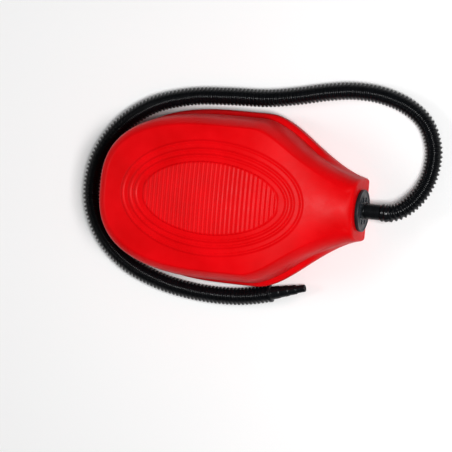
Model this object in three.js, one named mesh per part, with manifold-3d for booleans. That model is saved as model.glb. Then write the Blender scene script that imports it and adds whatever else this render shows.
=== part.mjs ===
// Foot air pump: a soft clam-shell bellows with a foot pad, a fitting in its neck that holds the intake
// and outlet valves, a return spring inside, and a corrugated hose with a stepped nozzle.
// Millimetres. +X points out of the neck, +Z up, the flat underside stands on z = 0.
// Depth is measured from the neck's end face back towards the heel.

import * as THREE from "three";
import { mergeVertices } from "three/addons/utils/BufferGeometryUtils.js";
import Module from "manifold-3d";

const wasm = await Module();
wasm.setup();

// ---- Driving dimensions ----

const gap = 0.3; // between neighbouring pieces
const bodyDepth = 283; // neck face to heel, at the lower lobe
const bodyHalfWidth = 93; // at the lower lobe
const widestDepth = 140; // where the flare ends and the heel curve starts
const heelRoundness = 2.6; // exponent of the heel's superellipse: 2 would be an ellipse
const flareStart = -5;
const flareEnd = 111;
const flareHalfWidth = 33; // what the flare would narrow to at its start
const neckCorner = 2.5; // radius of the neck's upright corners
const neckHeight = 56;
const bodyHeight = 93;
const crestDepth = 150; // where the top is highest
const heelFall = 6; // from the crest to the heel
const crown = 8; // how far the top falls to its sides, along the body
const neckCrown = 13; // the same at the neck
const neckCrownDepth = 90; // where the neck's crown has become the body's
const wall = 3; // thickness of the moulding

const hingeDepth = 40; // the line across the neck that the upper lobe folds about
const hingeHeight = 28;
const lowerRimHeight = 15; // at the heel, the widest line of the lower lobe
const upperRimHeight = 72; // at the heel, the widest line of the upper lobe
const upperRimInset = 5; // the upper lobe is a little smaller than the lower one
const leastOpening = 0.12; // of the waist at its hinge, as a share of its opening at the heel
const lowerFoldHeight = 19.5; // at the heel, where the lower lobe ends in the groove
const upperFoldHeight = 66.5; // at the heel, where the upper lobe starts in the groove
const neckSleeveDepth = 30;
const waistStartDepth = 46;

const portReach = 33; // neck face to the port tube's tip
const portRadius = 8.25;
const portBore = 5.5;
const flangeRadius = 22.5;
const spigotRadius = 18.7;
const spigotInnerRadius = 16.5;
const fittingHeight = neckHeight / 2;

const hoseRadius = 9.5;
const hoseStart = 23; // ahead of the neck face: the rest of the port tube is inside the hose
const hoseSocketRadius = portRadius + gap;
const nozzleSpigotLength = 12; // pushed into the hose's end
const nozzleSpigotRadius = 6;
const nozzleLength = 41; // beyond the hose
const nozzleBore = 2.2;

// The body and the port tube together are centred on x = 0.
const neckX = (bodyDepth - portReach) / 2;
const xAt = (depth) => neckX - depth;
const depthAt = (x) => neckX - x;

// ---- Small helpers ----

const mix = (a, b, t) => a + (b - a) * t;

function smoothStep(from, to, value) {
  const t = Math.min(1, Math.max(0, (value - from) / (to - from)));
  return t * t * (3 - 2 * t);
}

function toSolid(geometry) {
  const bare = geometry.clone();
  bare.deleteAttribute("normal");
  bare.deleteAttribute("uv");
  const merged = mergeVertices(bare, 1e-4);
  const mesh = new wasm.Mesh({
    numProp: 3,
    vertProperties: merged.attributes.position.array,
    triVerts: new Uint32Array(merged.index.array),
  });
  return new wasm.Manifold(mesh);
}

function toGeometry(solid) {
  const mesh = solid.getMesh();
  const geometry = new THREE.BufferGeometry();
  geometry.setAttribute("position", new THREE.BufferAttribute(mesh.vertProperties, 3));
  geometry.setIndex(new THREE.BufferAttribute(mesh.triVerts, 1));
  return geometry;
}

function indexedGeometry(points, faces) {
  const geometry = new THREE.BufferGeometry();
  geometry.setAttribute("position", new THREE.Float32BufferAttribute(points.flatMap((p) => p.toArray()), 3));
  geometry.setIndex(faces.flat());
  return geometry;
}

// The two triangles between a pair of points on one row and the pair on the next.
function quad(a, b, c, d) {
  return [
    [a, b, c],
    [a, c, d],
  ];
}

// A ring turned about the X axis through (0, height): profile points are [x, radius].
function turned(profile, height, segments = 32) {
  const points = profile.map(([x, radius]) => new THREE.Vector2(radius, x));
  points.push(points[0].clone());
  const geometry = new THREE.LatheGeometry(points, segments);
  geometry.rotateZ(-Math.PI / 2);
  return geometry.translate(0, 0, height);
}

// A ring turned about the Z axis through (x, 0): profile points are [radius, z].
function turnedUpright(profile, x, segments = 32) {
  const points = profile.map(([radius, z]) => new THREE.Vector2(radius, z));
  const geometry = new THREE.LatheGeometry(points, segments);
  geometry.rotateX(Math.PI / 2);
  return geometry.translate(x, 0, 0);
}

// A slab right across the pump whose outline, in [depth, height], is seen from the side.
function sideSlab(outline) {
  const shape = new THREE.Shape(outline.map(([depth, height]) => new THREE.Vector2(xAt(depth), height)));
  const slab = new THREE.ExtrudeGeometry(shape, { depth: 2 * bodyDepth, bevelEnabled: false });
  slab.rotateX(Math.PI / 2);
  return slab.translate(0, bodyDepth, 0);
}

// ---- The body's outer form ----

function halfWidthAt(depth) {
  if (depth <= widestDepth) {
    return mix(flareHalfWidth, bodyHalfWidth, smoothStep(flareStart, flareEnd, depth));
  }
  const share = Math.min(1, (depth - widestDepth) / (bodyDepth - widestDepth));
  return bodyHalfWidth * (1 - share ** heelRoundness) ** (1 / heelRoundness);
}

// Height of the top surface, rising from the neck to its crest and falling to its sides and heel.
function topAt(x, y) {
  const depth = depthAt(x);
  const rise = Math.sin((Math.PI / 2) * Math.min(1, Math.max(0, depth / crestDepth)));
  const past = Math.max(0, depth - crestDepth) / (bodyDepth - crestDepth);
  const side = y / mix(halfWidthAt(Math.max(0, depth)), bodyHalfWidth, smoothStep(90, 200, depth));
  const sideFall = mix(neckCrown, crown, smoothStep(0, neckCrownDepth, depth)) * side * side;
  return neckHeight + (bodyHeight - neckHeight) * rise - heelFall * past * past - sideFall;
}

// One half of the outline seen from above, from the middle of the neck face to the heel's tip.
function halfOutline(detail, corner) {
  const points = [];
  const neckHalf = halfWidthAt(0);
  const faceSteps = Math.round(3 * detail);
  for (let i = 0; i < faceSteps; i += 1) {
    points.push([0, ((neckHalf - corner) * i) / faceSteps]);
  }
  const cornerSteps = Math.round(3 * detail);
  for (let i = 0; i < cornerSteps; i += 1) {
    const turn = ((Math.PI / 2) * i) / cornerSteps;
    const halfWidth = neckHalf - corner + corner * Math.sin(turn);
    points.push([corner * (1 - Math.cos(turn)), halfWidth]);
  }
  const sideSteps = Math.round(13 * detail);
  for (let i = 0; i < sideSteps; i += 1) {
    const depth = mix(corner, widestDepth, i / sideSteps);
    points.push([depth, halfWidthAt(depth)]);
  }
  const heelSteps = Math.round(18 * detail);
  for (let i = 0; i <= heelSteps; i += 1) {
    const turn = ((Math.PI / 2) * i) / heelSteps;
    const along = Math.sin(turn) ** (2 / heelRoundness);
    const across = Math.cos(turn) ** (2 / heelRoundness);
    points.push([widestDepth + (bodyDepth - widestDepth) * along, bodyHalfWidth * across]);
  }
  points[points.length - 1][1] = 0;
  return points;
}

// The whole outline, anticlockwise from the middle of the neck face, with its outward directions.
function outline(detail, corner) {
  const half = halfOutline(detail, corner);
  const mirrored = half.slice(1, -1).reverse();
  const ring = [
    ...half.map(([depth, y]) => new THREE.Vector2(xAt(depth), y)),
    ...mirrored.map(([depth, y]) => new THREE.Vector2(xAt(depth), -y)),
  ];
  return ring.map((point, i) => {
    const before = ring[(i + ring.length - 1) % ring.length];
    const after = ring[(i + 1) % ring.length];
    const along = after.clone().sub(before).normalize();
    return { point, outward: new THREE.Vector2(along.y, -along.x) };
  });
}

// The side wall at the heel from the underside up to the dome, as [inset, height].
const lobeProfile = [
  [12, 0],
  [5, 1.4],
  [1.2, 6],
  [0, lowerRimHeight],
  [2, 26],
  [8, 34.5],
  [14.5, 39.5],
  [17.5, 47],
  [14.5, 54],
  [8.6, 60.2],
  [upperRimInset, upperRimHeight],
  [6, 77.5],
  [9, 82.6],
  [15.5, 86.6],
];
const domeEdgeHeight = lobeProfile[lobeProfile.length - 1][1];

// The same stations at the neck, as [inset, share of the height, distance back from the end face].
const neckProfile = [
  [4, 0, 1.2],
  [1.5, 0.02, 0.4],
  [0.2, 0.07, 0],
  [0, 0.17, 0],
  [0, 0.27, 0],
  [0, 0.36, 0],
  [0, 0.44, 0],
  [0, 0.52, 0],
  [0.2, 0.6, 0],
  [0.8, 0.68, 0],
  [2.2, 0.77, 0.1],
  [4.6, 0.86, 0.6],
  [8.6, 0.94, 2.4],
  [14, 1, 8],
];
const domeRings = [0.86, 0.68, 0.47, 0.24];
const crest = new THREE.Vector2(xAt(crestDepth), 0);

// How strongly the two lobes stand out: not at all at the neck, fully along the body.
const lobesAt = (depth) => smoothStep(10, 62, depth);

// How far the waist is open: a wedge from the hinge to the heel, never quite shut.
function openingAt(depth) {
  return Math.max(leastOpening, (depth - hingeDepth) / (bodyDepth - hingeDepth));
}

// How far up the groove a station lies: 0 at the lower rim, 1 at the upper one.
function grooveShare(station) {
  const share = (lobeProfile[station][1] - lowerRimHeight) / (upperRimHeight - lowerRimHeight);
  return Math.min(1, Math.max(0, share));
}

// A station's inset along the body: the groove gets shallower as the waist closes.
function lobeInset(station, opening) {
  const inset = lobeProfile[station][0];
  const share = grooveShare(station);
  if (share === 0 || share === 1) {
    return inset;
  }
  return mix(upperRimInset * share, inset, Math.min(1, 2 * opening));
}

// A station's height along the body: both rims close on the hinge's height as the waist closes, and
// the lobes fill what is below and above them.
function lobeHeight(station, opening, top) {
  const height = lobeProfile[station][1];
  const lowerRim = mix(hingeHeight, lowerRimHeight, opening);
  const upperRim = mix(hingeHeight, upperRimHeight, opening);
  if (height < lowerRimHeight) {
    return (lowerRim * height) / lowerRimHeight;
  }
  if (height > upperRimHeight) {
    return mix(upperRim, top, (height - upperRimHeight) / (domeEdgeHeight - upperRimHeight));
  }
  return mix(lowerRim, upperRim, grooveShare(station));
}

// Where a station of the side wall lies in plan. At the neck it draws in towards the middle line and
// back from the end face, and along the body it moves square to the outline.
function insetPlace({ point, outward }, station) {
  const depth = depthAt(point.x);
  const [neckInset, , back] = neckProfile[station];
  const atNeck = new THREE.Vector2(
    point.x - back * (1 - smoothStep(0, 16, depth)),
    point.y * (1 - neckInset / halfWidthAt(Math.min(depth, widestDepth))),
  );
  const alongBody = point.clone().addScaledVector(outward, -lobeInset(station, openingAt(depth)));
  return atNeck.lerp(alongBody, lobesAt(depth));
}

function wallPoint(place, station) {
  const edge = insetPlace(place, lobeProfile.length - 1);
  const top = topAt(edge.x, edge.y);
  const depth = depthAt(place.point.x);
  const bodyZ = lobeHeight(station, openingAt(depth), top);
  const { x, y } = insetPlace(place, station);
  return new THREE.Vector3(x, y, mix(neckProfile[station][1] * top, bodyZ, lobesAt(depth)));
}

// The closed outer surface of the body, moved inwards by a distance.
function bodyForm(detail, inwards) {
  const ring = outline(detail, neckCorner + inwards);
  const rows = lobeProfile.map((_, station) => ring.map((place) => wallPoint(place, station)));
  const domeEdge = rows[rows.length - 1];
  for (const share of domeRings) {
    rows.push(
      domeEdge.map((p) => {
        const x = mix(crest.x, p.x, share);
        const y = p.y * share;
        return new THREE.Vector3(x, y, topAt(x, y));
      }),
    );
  }
  const points = rows.flat();
  const underside = points.push(new THREE.Vector3(crest.x, 0, 0)) - 1;
  const summit = points.push(new THREE.Vector3(crest.x, 0, topAt(crest.x, 0))) - 1;
  const faces = [];
  const count = ring.length;
  for (let i = 0; i < count; i += 1) {
    const next = (i + 1) % count;
    faces.push([underside, next, i]);
    for (let row = 0; row + 1 < rows.length; row += 1) {
      const low = row * count;
      faces.push(...quad(low + i, low + next, low + count + next, low + count + i));
    }
    const last = (rows.length - 1) * count;
    faces.push([last + i, last + next, summit]);
  }
  const form = indexedGeometry(points, faces);
  if (inwards === 0) {
    return form;
  }
  form.computeVertexNormals();
  const position = form.attributes.position;
  const normal = form.attributes.normal;
  for (let i = 0; i < position.count; i += 1) {
    position.setXYZ(
      i,
      position.getX(i) - inwards * normal.getX(i),
      position.getY(i) - inwards * normal.getY(i),
      Math.max(inwards, position.getZ(i) - inwards * normal.getZ(i)),
    );
  }
  return form;
}

const fittingHole = new THREE.CylinderGeometry(spigotRadius + gap, spigotRadius + gap, 30, 32)
  .rotateZ(Math.PI / 2)
  .translate(neckX, 0, fittingHeight);
const moulding = toSolid(bodyForm(0.9, 0))
  .subtract(toSolid(bodyForm(0.6, wall)))
  .subtract(toSolid(fittingHole));

// Height of a fold line at a depth, from its height at the heel: both lines pass through the hinge.
function foldHeight(heelHeight, depth) {
  return hingeHeight + ((heelHeight - hingeHeight) * (depth - hingeDepth)) / (bodyDepth - hingeDepth);
}

function mouldingPart(sideOutline) {
  return toGeometry(moulding.intersect(toSolid(sideSlab(sideOutline))));
}

const beyond = bodyDepth + 10;
const half = gap / 2;
const neckSleeve = mouldingPart([
  [-5, -5],
  [neckSleeveDepth, -5],
  [neckSleeveDepth, 120],
  [-5, 120],
]);
const lowerShell = mouldingPart([
  [neckSleeveDepth + gap, -5],
  [beyond, -5],
  [beyond, foldHeight(lowerFoldHeight, beyond) - half],
  [hingeDepth, hingeHeight - half],
  [neckSleeveDepth + gap, hingeHeight - half],
]);
const upperShell = mouldingPart([
  [hingeDepth + half, hingeHeight + half],
  [beyond, foldHeight(upperFoldHeight, beyond) + half],
  [beyond, 120],
  [hingeDepth + half, 120],
]);
const hingeWall = mouldingPart([
  [neckSleeveDepth + gap, hingeHeight + half],
  [hingeDepth - half, hingeHeight + half],
  [hingeDepth - half, 120],
  [neckSleeveDepth + gap, 120],
]);
const bellowsWaist = mouldingPart([
  [waistStartDepth, foldHeight(lowerFoldHeight, waistStartDepth) + half],
  [beyond, foldHeight(lowerFoldHeight, beyond) + half],
  [beyond, foldHeight(upperFoldHeight, beyond) - half],
  [waistStartDepth, foldHeight(upperFoldHeight, waistStartDepth) - half],
]);

// ---- Foot pad: three oval ridges round a field of cross ribs ----

const padX = xAt(149);
const ridgeHalfLengths = [97.8, 89.4, 83];
const ridgeInset = 38; // an oval's half-length less its half-width
const ridgeHalfThickness = 2.6;
const ridgeRise = 1.4;
const ribPitch = 4.8;
const ribCount = 30;
const ribRise = 1.9;
const ribValley = 0.9;
const ribFieldHalfLength = 76;
const ribFieldHalfWidth = 39;

// A ridge that follows an oval on the top surface.
function padRidge(halfLength) {
  const halfWidth = halfLength - ridgeInset;
  const around = 48;
  const section = [
    [-ridgeHalfThickness, gap],
    [-0.65 * ridgeHalfThickness, 0.7 * ridgeRise],
    [0, ridgeRise],
    [0.65 * ridgeHalfThickness, 0.7 * ridgeRise],
    [ridgeHalfThickness, gap],
  ];
  const points = [];
  for (let i = 0; i < around; i += 1) {
    const turn = (2 * Math.PI * i) / around;
    const outward = new THREE.Vector2(halfWidth * Math.cos(turn), halfLength * Math.sin(turn)).normalize();
    for (const [offset, rise] of section) {
      const x = padX + halfLength * Math.cos(turn) + offset * outward.x;
      const y = halfWidth * Math.sin(turn) + offset * outward.y;
      points.push(new THREE.Vector3(x, y, topAt(x, y) + rise));
    }
  }
  const size = section.length;
  const faces = [];
  for (let i = 0; i < around; i += 1) {
    const here = i * size;
    const ahead = ((i + 1) % around) * size;
    for (let j = 0; j < size; j += 1) {
      const k = (j + 1) % size;
      faces.push(...quad(here + j, here + k, ahead + k, ahead + j));
    }
  }
  return indexedGeometry(points, faces);
}

// A thin plate that lies on the top surface and carries the ribs, as rows across the pump.
function ribField() {
  const columns = 2 * ribCount + 1;
  const across = 5;
  const points = [];
  for (let i = 0; i < columns; i += 1) {
    const fromMiddle = ((i - ribCount) * ribPitch) / 2;
    const halfWidth = ribFieldHalfWidth * Math.sqrt(1 - (fromMiddle / ribFieldHalfLength) ** 2);
    const rise = i % 2 === 1 ? ribRise : ribValley;
    for (let j = 0; j <= across; j += 1) {
      const x = padX + fromMiddle;
      const y = halfWidth * ((2 * j) / across - 1);
      points.push(new THREE.Vector3(x, y, topAt(x, y) + rise));
      points.push(new THREE.Vector3(x, y, topAt(x, y) + gap));
    }
  }
  const upper = (i, j) => 2 * (i * (across + 1) + j);
  const lower = (i, j) => upper(i, j) + 1;
  const faces = [];
  for (let i = 0; i + 1 < columns; i += 1) {
    for (let j = 0; j < across; j += 1) {
      faces.push(...quad(upper(i, j), upper(i + 1, j), upper(i + 1, j + 1), upper(i, j + 1)));
      faces.push(...quad(lower(i, j), lower(i, j + 1), lower(i + 1, j + 1), lower(i + 1, j)));
    }
    faces.push(...quad(lower(i, 0), lower(i + 1, 0), upper(i + 1, 0), upper(i, 0)));
    faces.push(...quad(upper(i, across), upper(i + 1, across), lower(i + 1, across), lower(i, across)));
  }
  const end = columns - 1;
  for (let j = 0; j < across; j += 1) {
    faces.push(...quad(lower(0, j), upper(0, j), upper(0, j + 1), lower(0, j + 1)));
    faces.push(...quad(upper(end, j), lower(end, j), lower(end, j + 1), upper(end, j + 1)));
  }
  return indexedGeometry(points, faces);
}

// ---- Return spring between its two cups ----

const springX = xAt(crestDepth);
const springRadius = 26;
const springWire = 1.9;
const springTurns = 6.5;
const cupRadius = 32;
const cupFloor = 3;
const cupRim = 6;
const cupWall = 2.5;
const lowerCupZ = wall + gap;
const upperCupZ = 87.2;

// A round cup, open towards direction (1 up, -1 down), whose outer face is at a height.
function springCup(height, direction) {
  const profile = [
    [0, 0],
    [cupRadius, 0],
    [cupRadius, cupRim],
    [cupRadius - cupWall, cupRim],
    [cupRadius - cupWall, cupFloor],
    [0, cupFloor],
  ].map(([radius, rise]) => [radius, height + direction * rise]);
  return turnedUpright(direction > 0 ? profile : profile.reverse(), springX);
}

class Helix extends THREE.Curve {
  getPoint(t) {
    const turn = 2 * Math.PI * springTurns * t;
    const low = lowerCupZ + cupFloor + gap + springWire;
    const high = upperCupZ - cupFloor - gap - springWire;
    return new THREE.Vector3(
      springX + springRadius * Math.cos(turn),
      springRadius * Math.sin(turn),
      mix(low, high, t),
    );
  }
}

function roundBar(curve, radius, sides, steps) {
  const circle = new THREE.Shape();
  for (let i = 0; i < sides; i += 1) {
    const turn = (2 * Math.PI * i) / sides;
    const place = [radius * Math.cos(turn), radius * Math.sin(turn)];
    if (i === 0) {
      circle.moveTo(...place);
    } else {
      circle.lineTo(...place);
    }
  }
  return new THREE.ExtrudeGeometry(circle, { steps, extrudePath: curve, bevelEnabled: false });
}

const returnSpring = roundBar(new Helix(), springWire, 6, 78);

// ---- Fitting in the neck: flange, port tube, intake slots and the two valves ----
// Ahead is +X from the neck face.

const flangeBack = 1.6;
const flangeFront = 4;
const hubBack = -7;
const spigotBack = -14;
const slotCount = 8;
const slotInner = 9.8;
const slotOuter = 15.5;
const slotWidth = 5.4;
const lockRingRadius = 20.4;
const flapThickness = 0.9;
const intakeFlapRadius = 16.1;
const intakeTravel = 2;
const retainerRadius = 12.5;
const outletHole = 3.2;
const outletFlapRadius = 4.7;
const ahead = (profile) => profile.map(([x, radius]) => [neckX + x, radius]);

const flangeTurning = turned(
  ahead([
    [hubBack, portBore],
    [portReach, portBore],
    [portReach, 7.5],
    [portReach - 0.8, portRadius],
    [flangeFront + 1.2, portRadius],
    [flangeFront, portRadius + 1.2],
    [flangeFront, flangeRadius - 0.7],
    [flangeFront - 0.7, flangeRadius],
    [flangeBack, flangeRadius],
    [flangeBack, spigotRadius],
    [spigotBack, spigotRadius],
    [spigotBack, spigotInnerRadius],
    [flangeBack, spigotInnerRadius],
    [flangeBack, portRadius],
    [hubBack, portRadius],
  ]).reverse(),
  fittingHeight,
);

function intakeSlot(index) {
  const length = slotOuter - slotInner;
  const slot = new THREE.BoxGeometry(20, slotWidth, length);
  slot.translate(neckX + flangeFront, 0, (slotInner + slotOuter) / 2);
  slot.rotateX((2 * Math.PI * (index + 0.5)) / slotCount);
  return slot.translate(0, 0, fittingHeight);
}

let fitting = toSolid(flangeTurning);
for (let i = 0; i < slotCount; i += 1) {
  fitting = fitting.subtract(toSolid(intakeSlot(i)));
}

// A plain ring between two radii.
function washer(back, front, inner, outer, segments = 32) {
  const profile = [
    [back, inner],
    [back, outer],
    [front, outer],
    [front, inner],
  ];
  return turned(ahead(profile), fittingHeight, segments);
}

const flangeSeal = washer(gap, flangeBack - gap, spigotRadius + 0.7, flangeRadius - 0.5);
const lockRing = washer(-wall - 6, -wall - 1, spigotRadius + gap, lockRingRadius);
const flapFront = flangeBack - gap;
const intakeFlap = washer(flapFront - flapThickness, flapFront, portRadius + gap, intakeFlapRadius);
const retainerFront = flapFront - flapThickness - gap - intakeTravel;
const flapRetainer = washer(retainerFront - 1.5, retainerFront, portRadius + gap, retainerRadius);
const seatFront = hubBack + 2.5;
const outletSeat = turned(
  ahead([
    [hubBack - 2, outletHole],
    [hubBack - 2, 8],
    [hubBack - gap, 8],
    [hubBack - gap, portBore - gap],
    [seatFront, portBore - gap],
    [seatFront, outletHole],
  ]),
  fittingHeight,
);
const outletFlap = new THREE.CylinderGeometry(outletFlapRadius, outletFlapRadius, flapThickness, 24)
  .rotateZ(Math.PI / 2)
  .translate(neckX + seatFront + gap + flapThickness / 2, 0, fittingHeight);

// ---- Hose and nozzle ----
// The hose leaves the port, sinks to the floor, and lies once round the heel to the pump's other side.

const floorHeight = hoseRadius + 0.2;
const hoseRoute = [
  [neckX + hoseStart, 0, fittingHeight],
  [neckX + hoseStart + 10, 0.1, fittingHeight],
  [168, 3.6, 26.3],
  [177, 11, 22],
  [185, 22, 16],
  [191, 36, 11.5],
  [194.5, 52, floorHeight],
  [194.5, 72, floorHeight],
  [184, 97, floorHeight],
  [164, 113, floorHeight],
  [134, 123, floorHeight],
  [103, 125, floorHeight],
  [72, 121, floorHeight],
  [42, 114.5, floorHeight],
  [8, 109, floorHeight],
  [-35, 107, floorHeight],
  [-80, 103, floorHeight],
  [-125, 89, floorHeight],
  [-161, 61, floorHeight],
  [-182, 24, floorHeight],
  [-185, -18, floorHeight],
  [-170, -54, floorHeight],
  [-140, -82, floorHeight],
  [-98, -99.5, floorHeight],
  [-52, -107, floorHeight],
  [-12, -107, floorHeight],
  [12, -103.5, floorHeight],
  [26, -100, floorHeight],
].map((place) => new THREE.Vector3(...place));
const hoseCurve = new THREE.CatmullRomCurve3(hoseRoute, false, "centripetal");

// A cylinder that starts at a place and runs along a direction.
function rod(place, direction, radius, length, segments = 16) {
  const cylinder = new THREE.CylinderGeometry(radius, radius, length, segments);
  cylinder.translate(0, length / 2, 0);
  const turn = new THREE.Quaternion().setFromUnitVectors(new THREE.Vector3(0, 1, 0), direction);
  return cylinder.applyQuaternion(turn).translate(place.x, place.y, place.z);
}

const hoseOut = hoseCurve.getTangentAt(0);
const hoseEnd = hoseCurve.getPointAt(1);
const hoseEndDirection = hoseCurve.getTangentAt(1);
const portSocket = rod(
  hoseRoute[0].clone().addScaledVector(hoseOut, -1),
  hoseOut,
  hoseSocketRadius,
  portReach - hoseStart + 1 + gap,
);
const nozzleSocket = rod(
  hoseEnd.clone().addScaledVector(hoseEndDirection, 1),
  hoseEndDirection.clone().negate(),
  nozzleSpigotRadius + gap,
  nozzleSpigotLength + 1 + gap,
);
const hose = toSolid(roundBar(hoseCurve, hoseRadius, 12, 54))
  .subtract(toSolid(portSocket))
  .subtract(toSolid(nozzleSocket));

// Stepped nozzle along +Y from its collar: [radius, distance], then turned to follow the hose's end.
function nozzleForm() {
  const profile = [
    [nozzleBore, -nozzleSpigotLength],
    [nozzleSpigotRadius, -nozzleSpigotLength],
    [nozzleSpigotRadius, 0],
    [9.6, 0],
    [9.6, 3],
    [7, 3.6],
    [6.7, 12],
    [6.1, 13],
    [5.9, 22],
    [5.3, 23],
    [5.1, 31],
    [4.2, 32],
    [3.9, nozzleLength],
    [nozzleBore, nozzleLength],
    [nozzleBore, -nozzleSpigotLength],
  ].map(([radius, along]) => new THREE.Vector2(radius, along));
  const form = new THREE.LatheGeometry(profile, 20);
  const turn = new THREE.Quaternion().setFromUnitVectors(new THREE.Vector3(0, 1, 0), hoseEndDirection);
  const place = hoseEnd.clone().addScaledVector(hoseEndDirection, gap);
  return form.applyQuaternion(turn).translate(place.x, place.y, place.z);
}

// ---- Materials and the finished group ----

const red = { color: 0xd81420, roughness: 0.5, metalness: 0 };
const black = { color: 0x141416, roughness: 0.4, metalness: 0 };
const greyRubber = { color: 0x2b2b2e, roughness: 0.8, metalness: 0 };
const ivory = { color: 0xd8d4c8, roughness: 0.5, metalness: 0 };
const steel = { color: 0xb4b8bc, roughness: 0.3, metalness: 1 };

const pieces = [
  ["lower_shell", lowerShell, red],
  ["bellows_waist", bellowsWaist, red],
  ["upper_shell", upperShell, red],
  ["neck_sleeve", neckSleeve, red],
  ["hinge_wall", hingeWall, red],
  ["tread_ring_outer", padRidge(ridgeHalfLengths[0]), red],
  ["tread_ring_middle", padRidge(ridgeHalfLengths[1]), red],
  ["tread_ring_inner", padRidge(ridgeHalfLengths[2]), red],
  ["tread_ribs", ribField(), red],
  ["return_spring", returnSpring, steel],
  ["lower_spring_cup", springCup(lowerCupZ, 1), ivory],
  ["upper_spring_cup", springCup(upperCupZ, -1), ivory],
  ["valve_flange", toGeometry(fitting), black],
  ["flange_seal", flangeSeal, greyRubber],
  ["lock_ring", lockRing, black],
  ["intake_flap", intakeFlap, greyRubber],
  ["flap_retainer", flapRetainer, ivory],
  ["outlet_seat", outletSeat, ivory],
  ["outlet_flap", outletFlap, greyRubber],
  ["hose", toGeometry(hose), black],
  ["nozzle", nozzleForm(), black],
];

const group = new THREE.Group();
group.name = "foot_air_pump";
for (const [name, geometry, look] of pieces) {
  const mesh = new THREE.Mesh(geometry, new THREE.MeshStandardMaterial(look));
  mesh.name = name;
  group.add(mesh);
}

export default group;
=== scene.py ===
"""A foot air pump on a pale studio floor: a red clam-shell bellows with a ribbed oval pad, a black
fitting in its neck, and a corrugated hose that lies round the heel and ends in a stepped nozzle.
Lengths are in metres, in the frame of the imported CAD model: +X out of the neck, +Z up."""

import math

import bmesh
import bpy
import numpy as np
from mathutils import Matrix, Vector


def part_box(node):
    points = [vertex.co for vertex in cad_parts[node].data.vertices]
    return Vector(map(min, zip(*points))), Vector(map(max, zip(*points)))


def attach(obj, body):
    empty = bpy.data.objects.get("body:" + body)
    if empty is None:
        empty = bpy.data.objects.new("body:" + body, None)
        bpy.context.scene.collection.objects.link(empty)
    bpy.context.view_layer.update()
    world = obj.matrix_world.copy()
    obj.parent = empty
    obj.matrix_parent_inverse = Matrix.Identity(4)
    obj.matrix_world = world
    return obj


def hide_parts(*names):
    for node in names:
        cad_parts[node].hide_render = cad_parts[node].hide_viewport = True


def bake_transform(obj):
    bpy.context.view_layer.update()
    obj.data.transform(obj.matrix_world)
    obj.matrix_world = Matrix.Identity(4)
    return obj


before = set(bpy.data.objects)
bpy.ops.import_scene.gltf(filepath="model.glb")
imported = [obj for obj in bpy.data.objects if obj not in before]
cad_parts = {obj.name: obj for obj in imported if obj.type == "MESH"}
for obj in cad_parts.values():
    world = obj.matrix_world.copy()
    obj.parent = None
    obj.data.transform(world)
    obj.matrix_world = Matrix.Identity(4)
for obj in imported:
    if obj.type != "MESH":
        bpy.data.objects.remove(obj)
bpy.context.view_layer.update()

# ---- Dimensions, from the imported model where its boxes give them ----
# A depth is a distance back from the neck's end face, along -X.

NECK_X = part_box("neck_sleeve")[1][0]
BODY_DEPTH = NECK_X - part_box("lower_shell")[0][0]
BODY_HALF_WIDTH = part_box("lower_shell")[1][1]
FITTING_Z = (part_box("valve_flange")[0][2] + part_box("valve_flange")[1][2]) / 2
NECK_HEIGHT = 0.056
BODY_HEIGHT = 0.093
WIDEST_DEPTH = 0.140
HEEL_ROUNDNESS = 2.6
# The sides flare from the neck's half-width to the body's between these two depths.
FLARE_START = -0.005
FLARE_END = 0.111
FLARE_HALF_WIDTH = 0.033
NECK_CORNER = 0.0025
CREST_DEPTH = 0.150
HEEL_FALL = 0.006
CROWN = 0.008
NECK_CROWN = 0.013
NECK_CROWN_DEPTH = 0.090
FULL_BREADTH_START = 0.090
FULL_BREADTH_END = 0.200
WALL = 0.0024
HINGE_DEPTH = 0.040
HINGE_HEIGHT = 0.028
# Heights at the heel: a rim is a lobe's widest line, and a fold is where the moving waist begins.
LOWER_RIM_HEIGHT = 0.015
UPPER_RIM_HEIGHT = 0.072
LOWER_FOLD_HEIGHT = 0.0195
UPPER_FOLD_HEIGHT = 0.0665
UPPER_RIM_INSET = 0.005
LEAST_OPENING = 0.12
BEND_START_DEPTH = 0.018
BEND_END_DEPTH = 0.046
PAD_X = NECK_X - 0.149
# The pad's ovals are RIDGE_INSET narrower than long, measured from the middle.
RIDGE_HALF_LENGTHS = (0.0978, 0.0894, 0.083)
RIDGE_INSET = 0.038
RIDGE_HALF_THICKNESS = 0.0027
RIDGE_RISE = 0.0010
# The fitting's hole is cut through whatever lies within HOLE_REACH of the neck's end face.
HOLE_RADIUS = 0.0190
HOLE_REACH = 0.005
PORT_RADIUS = 0.00825
HOSE_RADIUS = 0.0095
FLOOR_GAP = 0.0002
HOSE_LYING_Z = HOSE_RADIUS + FLOOR_GAP


def depth_of(x):
    return NECK_X - x


def mix(a, b, t):
    return a + (b - a) * t


def smooth_step(start, end, value):
    t = np.clip((value - start) / (end - start), 0, 1)
    return t * t * (3 - 2 * t)


# ---- Camera ----

CAMERA_TARGET = Vector((-0.019, -0.0305, 0.040))
CAMERA_DIRECTION = Vector((0.31, 0.06, 0.949)).normalized()
CAMERA_DISTANCE = 4.0
CAMERA_ROLL = math.radians(6)
CAMERA_LENS = 297.5
CAMERA_REACH = 20


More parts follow.
